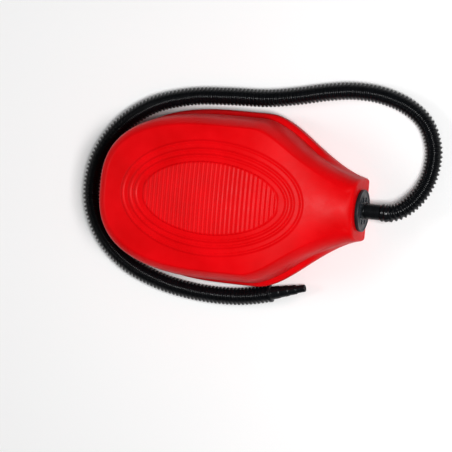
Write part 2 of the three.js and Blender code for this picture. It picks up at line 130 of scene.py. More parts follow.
def make_camera():
    """A long lens high above the pump, rolled so that the pump lies nearly level in the picture."""
    camera = bpy.data.objects.new("camera", bpy.data.cameras.new("camera"))
    bpy.context.scene.collection.objects.link(camera)
    camera.data.lens = CAMERA_LENS
    camera.data.clip_end = CAMERA_REACH
    along_pump = Vector((1, 0, 0))
    right = (along_pump - CAMERA_DIRECTION * along_pump.dot(CAMERA_DIRECTION)).normalized()
    right = Matrix.Rotation(CAMERA_ROLL, 3, CAMERA_DIRECTION) @ right
    up = CAMERA_DIRECTION.cross(right)
    turn = Matrix((right, up, CAMERA_DIRECTION)).transposed().to_4x4()
    camera.matrix_world = Matrix.Translation(CAMERA_TARGET + CAMERA_DISTANCE * CAMERA_DIRECTION) @ turn
    bpy.context.scene.camera = camera


make_camera()


# ---- Materials ----

# The colour sockets of a Mix node go by number, because its number sockets have the same names.
MIX_SHARE = 0
MIX_FIRST = 6
MIX_SECOND = 7
MIX_RESULT = 2
PLASTIC_IOR = 1.5


class Shader:
    """A material's nodes, added one after another."""

    def __init__(self, name):
        self.material = bpy.data.materials.new(name)
        self.material.use_nodes = True
        self.nodes = self.material.node_tree.nodes
        self.links = self.material.node_tree.links
        self.surface = self.nodes["Principled BSDF"]
        self.places = self.node("ShaderNodeTexCoord").outputs["Object"]

    def node(self, kind, inputs=None, **settings):
        node = self.nodes.new(kind)
        for key, value in settings.items():
            setattr(node, key, value)
        for key, value in (inputs or {}).items():
            self.put(node, key, value)
        return node

    def put(self, node, key, value):
        if isinstance(value, bpy.types.NodeSocket):
            self.links.new(value, node.inputs[key])
        else:
            node.inputs[key].default_value = value

    def noise(self, scale, detail=2.0, roughness=0.5):
        inputs = {"Vector": self.places, "Scale": scale, "Detail": detail, "Roughness": roughness}
        return self.node("ShaderNodeTexNoise", inputs).outputs["Fac"]

    def ramp(self, value, low, high, low_value=0.0, high_value=1.0):
        inputs = {"Value": value, "From Min": low, "From Max": high}
        inputs |= {"To Min": low_value, "To Max": high_value}
        return self.node("ShaderNodeMapRange", inputs).outputs["Result"]

    def colours(self, share, first, second):
        """Mixes two colours, each a plain colour or the output of another node."""
        mixer = self.node("ShaderNodeMix", data_type="RGBA")
        self.put(mixer, MIX_SHARE, share)
        for key, colour in ((MIX_FIRST, first), (MIX_SECOND, second)):
            self.put(mixer, key, colour if isinstance(colour, bpy.types.NodeSocket) else (*colour, 1))
        return mixer.outputs[MIX_RESULT]

    def bump(self, height, distance, strength, under=None):
        inputs = {"Height": height, "Distance": distance, "Strength": strength}
        if under is not None:
            inputs["Normal"] = under
        return self.node("ShaderNodeBump", inputs).outputs["Normal"]


def red_vinyl():
    """Soft moulded vinyl: fine grain, faint clouding of the red, and duller scuffed patches."""
    shader = Shader("red_vinyl")
    clouds = shader.ramp(shader.noise(22, 3), 0.3, 0.7)
    colour = shader.colours(clouds, (0.62, 0.0008, 0.003), (0.72, 0.0018, 0.006))
    scuffs = shader.ramp(shader.noise(60, 5, 0.7), 0.62, 0.75, 0, 0.3)
    shader.put(shader.surface, "Base Color", shader.colours(scuffs, colour, (0.72, 0.008, 0.012)))
    shader.put(shader.surface, "Roughness", shader.ramp(shader.noise(90, 3), 0.3, 0.7, 0.36, 0.46))
    waves = shader.bump(shader.noise(45, 2), 0.0008, 0.3)
    shader.put(shader.surface, "Normal", shader.bump(shader.noise(1400, 2), 0.0001, 0.4, waves))
    shader.surface.inputs["IOR"].default_value = PLASTIC_IOR
    shader.surface.inputs["Specular IOR Level"].default_value = 0.10
    return shader.material


def dark_plastic(name, dark, light, roughness, grain, gloss):
    """Moulded plastic or rubber with a fine grain and paler handling marks."""
    shader = Shader(name)
    marks = shader.ramp(shader.noise(120, 4, 0.6), 0.35, 0.75)
    shader.put(shader.surface, "Base Color", shader.colours(marks, dark, light))
    shader.put(shader.surface, "Roughness", shader.ramp(shader.noise(260, 3), 0.3, 0.7, *roughness))
    shader.put(shader.surface, "Normal", shader.bump(shader.noise(grain, 2), 0.00008, 0.45))
    shader.surface.inputs["IOR"].default_value = PLASTIC_IOR
    shader.surface.inputs["Specular IOR Level"].default_value = gloss
    return shader.material


def zinc_steel():
    """Drawn wire with a dull zinc coat."""
    shader = Shader("zinc_steel")
    drawn = shader.noise(400, 4, 0.6)
    colour = shader.colours(drawn, (0.42, 0.43, 0.45), (0.62, 0.63, 0.66))
    shader.put(shader.surface, "Base Color", colour)
    shader.put(shader.surface, "Roughness", shader.ramp(drawn, 0.3, 0.7, 0.25, 0.42))
    shader.put(shader.surface, "Normal", shader.bump(drawn, 0.00005, 0.4))
    shader.surface.inputs["Metallic"].default_value = 1.0
    return shader.material


def pale_plastic():
    """Pale moulded plastic with faint clouding."""
    shader = Shader("pale_plastic")
    clouds = shader.noise(60, 3)
    colour = shader.colours(clouds, (0.62, 0.60, 0.52), (0.74, 0.72, 0.64))
    shader.put(shader.surface, "Base Color", colour)
    shader.put(shader.surface, "Roughness", shader.ramp(clouds, 0.3, 0.7, 0.38, 0.52))
    shader.put(shader.surface, "Normal", shader.bump(shader.noise(900, 2), 0.0001, 0.4))
    return shader.material


def pale_floor():
    """Matt studio paper, all but even."""
    shader = Shader("pale_floor")
    colour = shader.colours(shader.noise(3), (0.86, 0.86, 0.86), (0.88, 0.88, 0.88))
    shader.put(shader.surface, "Base Color", colour)
    shader.surface.inputs["Roughness"].default_value = 0.6
    return shader.material


RED = red_vinyl()
FITTING_BLACK = dark_plastic(
    "fitting_black",
    dark=(0.018, 0.021, 0.026),
    light=(0.036, 0.042, 0.050),
    roughness=(0.34, 0.46),
    grain=1100,
    gloss=0.5,
)
TUBE_BLACK = dark_plastic(
    "tube_black",
    dark=(0.003, 0.004, 0.005),
    light=(0.008, 0.009, 0.011),
    roughness=(0.22, 0.32),
    grain=1100,
    gloss=0.3,
)
HOSE_BLACK = dark_plastic(
    "hose_black",
    dark=(0.003, 0.0035, 0.0045),
    light=(0.007, 0.008, 0.010),
    roughness=(0.14, 0.24),
    grain=900,
    gloss=0.35,
)
GREY_RUBBER = dark_plastic(
    "grey_rubber",
    dark=(0.012, 0.012, 0.013),
    light=(0.022, 0.022, 0.024),
    roughness=(0.60, 0.75),
    grain=700,
    gloss=0.3,
)
STEEL = zinc_steel()
PALE = pale_plastic()


# ---- Mesh helpers ----


def new_piece(name, points, faces, material, sharp=math.radians(40)):
    """A smooth-shaded object of one material. Edges stay crisp where they turn by more than sharp."""
    mesh = bpy.data.meshes.new(name)
    mesh.from_pydata([tuple(p) for p in points], [], faces)
    mesh.materials.append(material)
    mesh.shade_smooth()
    mesh.set_sharp_from_angle(angle=sharp)
    piece = bpy.data.objects.new(name, mesh)
    bpy.context.scene.collection.objects.link(piece)
    return piece


def grid_faces(rows, columns, closed_rows=False, closed_columns=True):
    """Quads between neighbouring rows of a grid whose points are numbered row by row."""
    faces = []
    for i in range(rows if closed_rows else rows - 1):
        ahead = (i + 1) % rows
        here, there = i * columns, ahead * columns
        for j in range(columns if closed_columns else columns - 1):
            beside = (j + 1) % columns
            faces.append((here + j, here + beside, there + beside, there + j))
    return faces


def rounded(outline, radius, steps=3):
    """A closed outline of corners, with each corner rounded off."""
    result = []
    for i, corner in enumerate(outline):
        here = np.array(corner, float)
        before = np.array(outline[i - 1], float) - here
        after = np.array(outline[(i + 1) % len(outline)], float) - here
        cut = min(radius, 0.45 * np.linalg.norm(before), 0.45 * np.linalg.norm(after))
        start = here + before / np.linalg.norm(before) * cut
        end = here + after / np.linalg.norm(after) * cut
        for k in range(steps + 1):
            t = k / steps
            result.append((1 - t) ** 2 * start + 2 * t * (1 - t) * here + t * t * end)
    return result


def turned_ring(name, outline, origin, axis, material, segments=96):
    """A closed ring turned about an axis, from its section's outline in (along, radius)."""
    axis = Vector(axis).normalized()
    side = axis.orthogonal().normalized()
    other = axis.cross(side)
    points = []
    for along, radius in outline:
        for k in range(segments):
            turn = 2 * math.pi * k / segments
            spoke = math.cos(turn) * side + math.sin(turn) * other
            points.append(Vector(origin) + float(along) * axis + float(radius) * spoke)
    faces = grid_faces(len(outline), segments, closed_rows=True)
    ahead = np.roll(outline, -1, axis=0)
    area = sum(a[0] * b[1] - b[0] * a[1] for a, b in zip(outline, ahead))
    if area > 0:
        faces = [face[::-1] for face in faces]
    return new_piece(name, points, faces, material)


def curve_through(places, steps):
    """Centripetal Catmull-Rom curve through places, for one curve or for many side by side."""
    p = np.concatenate([2 * places[:1] - places[1:2], places, 2 * places[-1:] - places[-2:-1]])
    gaps = np.sqrt(np.linalg.norm(np.diff(p, axis=0), axis=-1, keepdims=True))
    rows = []
    for i in range(1, len(p) - 2):
        d0, d1, d2 = gaps[i - 1], gaps[i], gaps[i + 1]
        leave = (p[i] - p[i - 1]) / d0 - (p[i + 1] - p[i - 1]) / (d0 + d1) + (p[i + 1] - p[i]) / d1
        arrive = (p[i + 1] - p[i]) / d1 - (p[i + 2] - p[i]) / (d1 + d2) + (p[i + 2] - p[i + 1]) / d2
        for t in np.arange(steps) / steps:
            ends = (2 * t**3 - 3 * t**2 + 1) * p[i] + (3 * t**2 - 2 * t**3) * p[i + 1]
            slopes = (t**3 - 2 * t**2 + t) * leave + (t**3 - t**2) * arrive
            rows.append(ends + slopes * d1)
    rows.append(p[-2])
    return np.array(rows)


def point_normals(points, faces):
    """The area-weighted normal at each point of a mesh."""
    normals = np.zeros_like(points)
    for face in faces:
        corners = points[list(face)]
        across = np.cross(corners[2] - corners[0], corners[-1] - corners[1])
        normals[list(face)] += across
    return normals / np.linalg.norm(normals, axis=1, keepdims=True)


def walled_piece(name, outer, inner, normals, faces, material):
    """A piece of skin with a real wall: outer and inner faces, joined by a rim along its border.
    The outer face keeps the normals of the whole skin, so that no seam shows beside the next piece."""
    count = len(outer)
    sides = set()
    for face in faces:
        sides.update(zip(face, face[1:] + face[:1]))
    rim = [(b, a, a + count, b + count) for a, b in sorted(sides) if (b, a) not in sides]
    within = [tuple(k + count for k in face[::-1]) for face in faces]
    points = np.concatenate([outer, inner])
    piece = new_piece(name, points, [*faces, *within, *rim], material, sharp=math.pi)
    held = [tuple(normal) for normal in normals] + [(0, 0, 0)] * count
    piece.data.normals_split_custom_set_from_vertices(held)
    return piece


# ---- Hose and nozzle ----
# The route is the CAD hose's: out of the port, down to the floor, round the heel, to the other side.

HOSE_START_X = NECK_X + 0.023
HOSE_STRAIGHT = 0.010
HOSE_ROUTE = [
    (HOSE_START_X, 0, FITTING_Z),
    (HOSE_START_X + HOSE_STRAIGHT, 0.0001, FITTING_Z),
    (0.168, 0.0036, 0.0263),
    (0.177, 0.011, 0.022),
    (0.185, 0.022, 0.016),
    (0.191, 0.036, 0.0115),
    (0.1945, 0.052, HOSE_LYING_Z),
    (0.1945, 0.072, HOSE_LYING_Z),
    (0.184, 0.097, HOSE_LYING_Z),
    (0.164, 0.113, HOSE_LYING_Z),
    (0.134, 0.123, HOSE_LYING_Z),
    (0.103, 0.125, HOSE_LYING_Z),
    (0.072, 0.121, HOSE_LYING_Z),
    (0.042, 0.1145, HOSE_LYING_Z),
    (0.008, 0.109, HOSE_LYING_Z),
    (-0.035, 0.107, HOSE_LYING_Z),
    (-0.080, 0.103, HOSE_LYING_Z),
    (-0.125, 0.089, HOSE_LYING_Z),
    (-0.161, 0.061, HOSE_LYING_Z),
    (-0.182, 0.024, HOSE_LYING_Z),
    (-0.185, -0.018, HOSE_LYING_Z),
    (-0.170, -0.054, HOSE_LYING_Z),
    (-0.140, -0.082, HOSE_LYING_Z),
    (-0.098, -0.0995, HOSE_LYING_Z),
    (-0.052, -0.107, HOSE_LYING_Z),
    (-0.012, -0.107, HOSE_LYING_Z),
    (0.012, -0.1035, HOSE_LYING_Z),
    (0.026, -0.100, HOSE_LYING_Z),
]
ROUTE_STEPS = 24
HOSE_PITCH = 0.0043
RINGS_PER_PITCH = 8
HOSE_SIDES = 28
HOSE_VALLEY = 0.0073
HOSE_CREST_SHARPNESS = 1.1
# The hose's first stretch, the cuff, fits closely over the port tube.
PORT_CUFF = 0.011
PORT_MOUTH = PORT_RADIUS + 0.0003
NOZZLE_MOUTH = 0.0070
MOUTH_RINGS = 8
NOZZLE_GAP = 0.0003


def evenly_spaced(places, spacing):
    """Points at even steps along a line of places, and the line's length."""
    steps = np.linalg.norm(np.diff(places, axis=0), axis=1)
    lengths = np.concatenate([[0], np.cumsum(steps)])
    wanted = np.linspace(0, lengths[-1], round(lengths[-1] / spacing) + 1)
    return np.stack([np.interp(wanted, lengths, places[:, k]) for k in range(3)], axis=1), lengths[-1]


def tube_rings(places, radii, sides):
    """Rings of points round a centreline, carried along it without twist."""
    tangents = np.gradient(places, axis=0)
    tangents /= np.linalg.norm(tangents, axis=1)[:, None]
    side = np.cross(tangents[0], (0, 0, 1))
    turns = np.arange(sides)[:, None] * 2 * math.pi / sides
    rings = []
    for place, tangent, radius in zip(places, tangents, radii):
        side = side - tangent * side.dot(tangent)
        side /= np.linalg.norm(side)
        rings.append(place + radius * (np.cos(turns) * side + np.sin(turns) * np.cross(tangent, side)))
    return np.array(rings)


def make_hose():
    """A corrugated tube whose two mouths turn in over the wall and a little way down the bore."""
    route = curve_through(np.array(HOSE_ROUTE), ROUTE_STEPS)
    centre, length = evenly_spaced(route, HOSE_PITCH / RINGS_PER_PITCH)
    along = np.linspace(0, length, len(centre))
    phase = 2 * math.pi * np.arange(len(centre)) / RINGS_PER_PITCH
    crests = (0.5 - 0.5 * np.cos(phase)) ** HOSE_CREST_SHARPNESS
    valleys = np.where(along < PORT_CUFF, PORT_MOUTH, HOSE_VALLEY)
    radii = mix(valleys, HOSE_RADIUS, crests)
    rings = tube_rings(centre, radii, HOSE_SIDES)
    middles = centre[:, None, :]
    port_lining = middles + (rings - middles) * (PORT_MOUTH / radii)[:, None, None]
    nozzle_lining = middles + (rings - middles) * (NOZZLE_MOUTH / radii)[:, None, None]
    into_port = port_lining[MOUTH_RINGS:0:-1]
    into_nozzle = nozzle_lining[-2 : -2 - MOUTH_RINGS : -1]
    lined = np.concatenate([into_port, rings, into_nozzle])
    points = lined.reshape(-1, 3)
    faces = [face[::-1] for face in grid_faces(len(lined), HOSE_SIDES)]
    piece = new_piece("corrugated_hose", points, faces, HOSE_BLACK, sharp=math.pi)
    return piece, centre, float(length)


def make_nozzle(end, direction):
    """A stepped push-in nozzle: a collar at the hose, then four tapering steps to an open tip."""
    outline = [
        (-0.0120, 0.0022),
        (-0.0120, 0.0060),
        (0.0000, 0.0060),
        (0.0000, 0.0096),
        (0.0030, 0.0096),
        (0.0036, 0.0070),
        (0.0120, 0.0067),
        (0.0128, 0.0061),
        (0.0220, 0.0059),
        (0.0228, 0.0053),
        (0.0310, 0.0051),
        (0.0318, 0.0042),
        (0.0410, 0.0039),
        (0.0410, 0.0022),
    ]
    place = Vector(end) + NOZZLE_GAP * Vector(direction)
    outline = rounded(outline, 0.0005)
    return turned_ring(
        "stepped_nozzle", outline, place, direction, TUBE_BLACK, segments=64
    )


hose, hose_centre, hose_length = make_hose()
nozzle_direction = hose_centre[-1] - hose_centre[-2]
nozzle_direction /= np.linalg.norm(nozzle_direction)
nozzle = make_nozzle(hose_centre[-1], nozzle_direction)
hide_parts("hose")
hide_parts("nozzle")
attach(hose, "base")
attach(nozzle, "base")


# ---- The red body: one moulded skin ----


def half_width_at(depth):
    """Half the body's width: an S-curve out of the neck, then a rounded heel."""
    flare = mix(FLARE_HALF_WIDTH, BODY_HALF_WIDTH, smooth_step(FLARE_START, FLARE_END, depth))
    share = np.clip((depth - WIDEST_DEPTH) / (BODY_DEPTH - WIDEST_DEPTH), 0, 1)
    heel = BODY_HALF_WIDTH * (1 - share**HEEL_ROUNDNESS) ** (1 / HEEL_ROUNDNESS)
    return np.where(depth <= WIDEST_DEPTH, flare, heel)


def top_at(x, y):
    """The top surface's height: it rises from the neck to a crest, and falls to the sides and heel."""
    depth = depth_of(x)
    rise = np.sin(math.pi / 2 * np.clip(depth / CREST_DEPTH, 0, 1))
    past = np.maximum(0, depth - CREST_DEPTH) / (BODY_DEPTH - CREST_DEPTH)
    full = smooth_step(FULL_BREADTH_START, FULL_BREADTH_END, depth)
    breadth = mix(half_width_at(np.maximum(0, depth)), BODY_HALF_WIDTH, full)
    side_fall = mix(NECK_CROWN, CROWN, smooth_step(0, NECK_CROWN_DEPTH, depth)) * (y / breadth) ** 2
    return NECK_HEIGHT + (BODY_HEIGHT - NECK_HEIGHT) * rise - HEEL_FALL * past**2 - side_fall


FACE_STEPS = 20
CORNER_STEPS = 6
SIDE_STEPS = 68
HEEL_STEPS = 72


def body_outline():
    """The outline seen from above, anticlockwise from the middle of the neck's end face, and its
    outward directions."""
    neck_half = float(half_width_at(np.array(0.0)))
    flat = neck_half - NECK_CORNER
    half = [(0, flat * i / FACE_STEPS) for i in range(FACE_STEPS)]
    for turn in np.linspace(0, math.pi / 2, CORNER_STEPS, endpoint=False):
        half.append((NECK_CORNER * (1 - math.cos(turn)), flat + NECK_CORNER * math.sin(turn)))
    for depth in np.linspace(NECK_CORNER, WIDEST_DEPTH, SIDE_STEPS, endpoint=False):
        half.append((depth, float(half_width_at(depth))))
    for turn in np.linspace(0, math.pi / 2, HEEL_STEPS + 1):
        along = math.sin(turn) ** (2 / HEEL_ROUNDNESS)
        across = max(0.0, math.cos(turn)) ** (2 / HEEL_ROUNDNESS)
        half.append((mix(WIDEST_DEPTH, BODY_DEPTH, along), BODY_HALF_WIDTH * across))
    half[-1] = (BODY_DEPTH, 0)
    half = np.array(half)
    ring = np.concatenate([half, half[-2:0:-1] * (1, -1)])
    ring[:, 0] = NECK_X - ring[:, 0]
    along = np.roll(ring, -1, axis=0) - np.roll(ring, 1, axis=0)
    along /= np.linalg.norm(along, axis=1)[:, None]
    return ring, np.stack([along[:, 1], -along[:, 0]], axis=1)


# The side wall from the underside up to the dome: (inset, height) at the heel ...
LOBE_PROFILE = [
    (0.0120, 0.0000),
    (0.0050, 0.0014),
    (0.0012, 0.0060),
    (0.0000, LOWER_RIM_HEIGHT),
    (0.0020, 0.0260),
    (0.0080, 0.0345),
    (0.0145, 0.0395),
    (0.0175, 0.0470),
    (0.0145, 0.0540),
    (0.0086, 0.0602),
    (UPPER_RIM_INSET, UPPER_RIM_HEIGHT),
    (0.0060, 0.0775),
    (0.0090, 0.0826),
    (0.0155, 0.0866),
]
DOME_EDGE_HEIGHT = LOBE_PROFILE[-1][1]
# ... and the same stations at the neck: (inset, share of the height, distance back from the end face).
NECK_PROFILE = [
    (0.0040, 0.00, 0.0012),
    (0.0015, 0.02, 0.0004),
    (0.0002, 0.07, 0),
    (0.0000, 0.17, 0),
    (0.0000, 0.27, 0),
    (0.0000, 0.36, 0),
    (0.0000, 0.44, 0),
    (0.0000, 0.52, 0),
    (0.0002, 0.60, 0),
    (0.0008, 0.68, 0),
    (0.0022, 0.77, 0.0001),
    (0.0046, 0.86, 0.0006),
    (0.0086, 0.94, 0.0024),
    (0.0140, 1.00, 0.0080),
]
STATION_STEPS = 4
LOBES_START = 0.010
LOBES_END = 0.062
NECK_ROUNDING_DEPTH = 0.016


def lobes_at(depth):
    """How strongly the two lobes stand out: not at all at the neck, fully along the body."""
    return smooth_step(LOBES_START, LOBES_END, depth)


def opening_at(depth):
    """How far the waist is open: a wedge from the hinge to the heel, never quite shut."""
    return np.maximum(LEAST_OPENING, (depth - HINGE_DEPTH) / (BODY_DEPTH - HINGE_DEPTH))


def groove_share(station):
    """How far up the groove a station lies: 0 at the lower rim, 1 at the upper one."""
    share = (LOBE_PROFILE[station][1] - LOWER_RIM_HEIGHT) / (UPPER_RIM_HEIGHT - LOWER_RIM_HEIGHT)
    return min(1, max(0, share))


def lobe_inset(station, opening):
    """A station's inset along the body: the groove gets shallower as the waist closes."""
    inset = LOBE_PROFILE[station][0]
    share = groove_share(station)
    if share in (0, 1):
        return np.full_like(opening, inset)
    return mix(UPPER_RIM_INSET * share, inset, np.minimum(1, 2 * opening))


def lobe_height(station, opening, top):
    """A station's height along the body: both rims close on the hinge's height as the waist closes,
    and the lobes fill what is below and above them."""
    height = LOBE_PROFILE[station][1]
    lower_rim = mix(HINGE_HEIGHT, LOWER_RIM_HEIGHT, opening)
    upper_rim = mix(HINGE_HEIGHT, UPPER_RIM_HEIGHT, opening)
    if height < LOWER_RIM_HEIGHT:
        return lower_rim * height / LOWER_RIM_HEIGHT
    if height > UPPER_RIM_HEIGHT:
        return mix(upper_rim, top, (height - UPPER_RIM_HEIGHT) / (DOME_EDGE_HEIGHT - UPPER_RIM_HEIGHT))
    return mix(lower_rim, upper_rim, groove_share(station))


def inset_ring(ring, outward, station):
    """The outline drawn in for a station: at the neck towards the middle line and back from the end
    face, and square to itself along the body."""
    depth = depth_of(ring[:, 0])
    neck_inset, _, back = NECK_PROFILE[station]
    at_neck = np.stack(
        [
            ring[:, 0] - back * (1 - smooth_step(0, NECK_ROUNDING_DEPTH, depth)),
            ring[:, 1] * (1 - neck_inset / half_width_at(np.minimum(depth, WIDEST_DEPTH))),
        ],
        axis=1,
    )
    along_body = ring - outward * lobe_inset(station, opening_at(depth))[:, None]
    return mix(at_neck, along_body, lobes_at(depth)[:, None])


def wall_ring(ring, outward, station):
    """One station's closed line of points round the whole body."""
    depth = depth_of(ring[:, 0])
    edge = inset_ring(ring, outward, len(LOBE_PROFILE) - 1)
    top = top_at(edge[:, 0], edge[:, 1])
    body_z = lobe_height(station, opening_at(depth), top)
    z = mix(NECK_PROFILE[station][1] * top, body_z, lobes_at(depth))
    return np.column_stack([inset_ring(ring, outward, station), z])


UNDERSIDE_SHARES = (0.15, 0.4, 0.65, 0.85)
PAD_SHARES = (0.97, 0.9, 0.75, 0.5, 0.25, 0.08)
DOME_STEPS = 16
OVAL_MARGIN = 0.0004
OVAL_START = RIDGE_HALF_LENGTHS[0] + RIDGE_HALF_THICKNESS + OVAL_MARGIN
OVAL_END = RIDGE_HALF_LENGTHS[-1] - RIDGE_HALF_THICKNESS - OVAL_MARGIN
OVAL_PITCH = 0.00055


def ridge_height(half_length):
    """How far the pad's ridges stand up at an oval of a given half-length."""
    height = 0
    for middle in RIDGE_HALF_LENGTHS:
        offset = min(1, abs(half_length - middle) / RIDGE_HALF_THICKNESS)
        height += RIDGE_RISE * math.cos(math.pi / 2 * offset) ** 2
    return height


def body_rows():
    """Rows of points from the middle of the underside to the middle of the pad, and how far each is
    raised."""
    ring, outward = body_outline()
    walls = [wall_ring(ring, outward, station) for station in range(len(LOBE_PROFILE))]
    middle = np.array((NECK_X - CREST_DEPTH, 0, 0))
    under = [mix(middle, walls[0], share) for share in UNDERSIDE_SHARES]

    across = RIDGE_HALF_LENGTHS[0] - RIDGE_INSET
    turn = np.arctan2(ring[:, 1] / across, (ring[:, 0] - PAD_X) / RIDGE_HALF_LENGTHS[0])

    def on_top(place):
        return np.column_stack([place, top_at(place[:, 0], place[:, 1])])

    def oval(half_length):
        half_width = half_length - RIDGE_INSET
        return np.column_stack([PAD_X + half_length * np.cos(turn), half_width * np.sin(turn)])

    edge = walls[-1][:, :2]
    dome = [on_top(mix(edge, oval(OVAL_START), k / DOME_STEPS)) for k in range(1, DOME_STEPS)]
    wall = curve_through(np.array([under[-1], *walls, dome[1]]), STATION_STEPS)
    wall = list(wall[STATION_STEPS:-STATION_STEPS])
    sizes = np.linspace(OVAL_START, OVAL_END, round((OVAL_START - OVAL_END) / OVAL_PITCH) + 1)
    ridges = [on_top(oval(size)) for size in sizes]
    last = ridges[-1][:, :2]
    pad = [on_top(mix((PAD_X, 0), last, share)) for share in PAD_SHARES]
    rows = [*under, *wall, *dome, *ridges, *pad]
    first = len(under) + len(wall) + len(dome)
    raised = np.zeros(len(rows))
    raised[first : first + len(ridges)] = [ridge_height(size) for size in sizes]
    return np.array(rows), raised


def fold_height(heel_height, depth):
    """Height of a fold line at a depth, from its height at the heel: both pass through the hinge."""
    rise = heel_height - HINGE_HEIGHT
    return HINGE_HEIGHT + rise * (depth - HINGE_DEPTH) / (BODY_DEPTH - HINGE_DEPTH)


def cut_lines(mesh):
    """Cuts the skin along the fold lines and across the neck, without taking anything away."""
    hinge = (NECK_X - HINGE_DEPTH, 0, HINGE_HEIGHT)
    run = BODY_DEPTH - HINGE_DEPTH
    cuts = [
        ((NECK_X - BEND_START_DEPTH, 0, 0), (1, 0, 0)),
        ((NECK_X - BEND_END_DEPTH, 0, 0), (1, 0, 0)),
        (hinge, (LOWER_FOLD_HEIGHT - HINGE_HEIGHT, 0, run)),
        (hinge, (UPPER_FOLD_HEIGHT - HINGE_HEIGHT, 0, run)),
    ]
    for place, direction in cuts:
        every = [*mesh.verts, *mesh.edges, *mesh.faces]
        normal = Vector(direction).normalized()
        bmesh.ops.bisect_plane(mesh, geom=every, dist=1e-6, plane_co=place, plane_no=normal)


def open_hole(mesh):
    """Opens the round hole for the fitting in the neck's end face."""

    def spoke(place):
        return Vector((0, place.y, place.z - FITTING_Z))

    ahead = [face for face in mesh.faces if face.calc_center_median().x > NECK_X - HOLE_REACH]
    gone = {face for face in ahead if spoke(face.calc_center_median()).length < HOLE_RADIUS}
    border = {edge for face in gone for edge in face.edges if not gone.issuperset(edge.link_faces)}
    corners = {corner for edge in border for corner in edge.verts}
    bmesh.ops.delete(mesh, geom=list(gone), context="FACES")
    for corner in corners:
        out = spoke(corner.co)
        corner.co += out.normalized() * (HOLE_RADIUS - out.length)


def region_of(place):
    """Which piece of the skin a face belongs to, by its middle."""
    depth, z = depth_of(place[0]), place[2]
    if depth < BEND_START_DEPTH:
        return "neck_skin"
    if z < fold_height(LOWER_FOLD_HEIGHT, depth):
        return "lower_lobe_skin"
    if depth > BEND_END_DEPTH and z > fold_height(UPPER_FOLD_HEIGHT, depth):
        return "upper_lobe_skin"
    return "waist_skin"


# Each piece of the skin, with the CAD nodes that it stands for and its body.
# The waist has no body of its own.
SKIN_PIECES = {
    "neck_skin": (["neck_sleeve"], "base"),
    "lower_lobe_skin": (["lower_shell"], "base"),
    "waist_skin": (["bellows_waist", "hinge_wall"], None),
    "upper_lobe_skin": (
        ["upper_shell", "tread_ring_outer", "tread_ring_middle", "tread_ring_inner"],
        "upper_lobe",
    ),
}


def make_skin():
    """Builds the whole skin as one mesh, cuts it along its folds, and shares it out among the pieces.
    The ridges are raised on the outer face only, so the inner face stays smooth."""
    rows, raised = body_rows()
    count, around = rows.shape[:2]
    mesh = bmesh.new()
    lift = mesh.verts.layers.float.new("lift")
    for row, rise in zip(rows, raised):
        for place in row:
            mesh.verts.new(place)[lift] = rise
    mesh.verts.ensure_lookup_table()
    last = (count - 1) * around
    caps = [tuple(reversed(range(around))), tuple(range(last, last + around))]
    for face in [*grid_faces(count, around), *caps]:
        mesh.faces.new([mesh.verts[k] for k in face])
    cut_lines(mesh)
    open_hole(mesh)

    mesh.verts.index_update()
    plain = np.array([vertex.co for vertex in mesh.verts])
    rise = np.array([vertex[lift] for vertex in mesh.verts])
    faces = [tuple(vertex.index for vertex in face.verts) for face in mesh.faces]
    mesh.free()
    outer = plain + rise[:, None] * (0, 0, 1)
    inner = plain - WALL * point_normals(plain, faces)
    normals = point_normals(outer, faces)
    regions = [region_of(plain[list(face)].mean(axis=0)) for face in faces]

    for name, (nodes, body) in SKIN_PIECES.items():
        kept = [face for face, region in zip(faces, regions) if region == name]
        used = sorted({k for face in kept for k in face})
        place_of = {k: i for i, k in enumerate(used)}
        local = [tuple(place_of[k] for k in face) for face in kept]
        piece = walled_piece(name, outer[used], inner[used], normals[used], local, RED)
        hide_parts(*nodes)
        if body:
            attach(piece, body)
        else:
            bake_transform(piece)


make_skin()


# ---- The pad's cross ribs ----

RIB_PITCH = 0.0048
RIB_COUNT = 31
RIB_SAMPLES = 10
RIB_ACROSS = 56
RIB_CREST = 0.0014
RIB_VALLEY = 0.0008
RIB_END_FADE = 0.0024
RIB_FIELD_HALF_LENGTH = 0.0775
RIB_FIELD_HALF_WIDTH = 0.0400
RIB_ROOT = -0.0006
RIB_CREST_FULLNESS = 0.8


def make_ribs():
    """A field of rounded ribs across the pad, each dying away at its ends into the smooth border."""
    half_run = RIB_COUNT * RIB_PITCH / 2
    along = np.linspace(-half_run, half_run, RIB_COUNT * RIB_SAMPLES + 1)
    spread = np.sin(math.pi / 2 * np.linspace(-1, 1, RIB_ACROSS + 1))
    half = RIB_FIELD_HALF_WIDTH * np.sqrt(1 - (along / RIB_FIELD_HALF_LENGTH) ** 2)
    x = np.repeat(PAD_X + along[:, None], len(spread), axis=1)
    y = half[:, None] * spread
    share = np.hypot(along[:, None] / RIB_FIELD_HALF_LENGTH, y / RIB_FIELD_HALF_WIDTH)
    fade = smooth_step(0, RIB_END_FADE, (1 - share) * RIB_FIELD_HALF_WIDTH)
    wave = (0.5 + 0.5 * np.cos(2 * math.pi * along / RIB_PITCH)) ** RIB_CREST_FULLNESS
    height = mix(RIB_VALLEY, RIB_CREST, wave)[:, None]
    top = top_at(x, y)
    outer = np.stack([x, y, top + mix(RIB_ROOT / 2, height, fade)], axis=2).reshape(-1, 3)
    inner = np.stack([x, y, top + RIB_ROOT], axis=2).reshape(-1, 3)
    faces = [face[::-1] for face in grid_faces(len(along), len(spread), closed_columns=False)]
    normals = point_normals(outer, faces)
    piece = walled_piece("tread_rib_field", outer, inner, normals, faces, RED)
    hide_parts("tread_ribs")
    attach(piece, "upper_lobe")


make_ribs()


# ---- The fitting in the neck, its seal and its valves ----
# Outlines are in (along, radius): along is +X from the neck face, about the middle of the fitting.

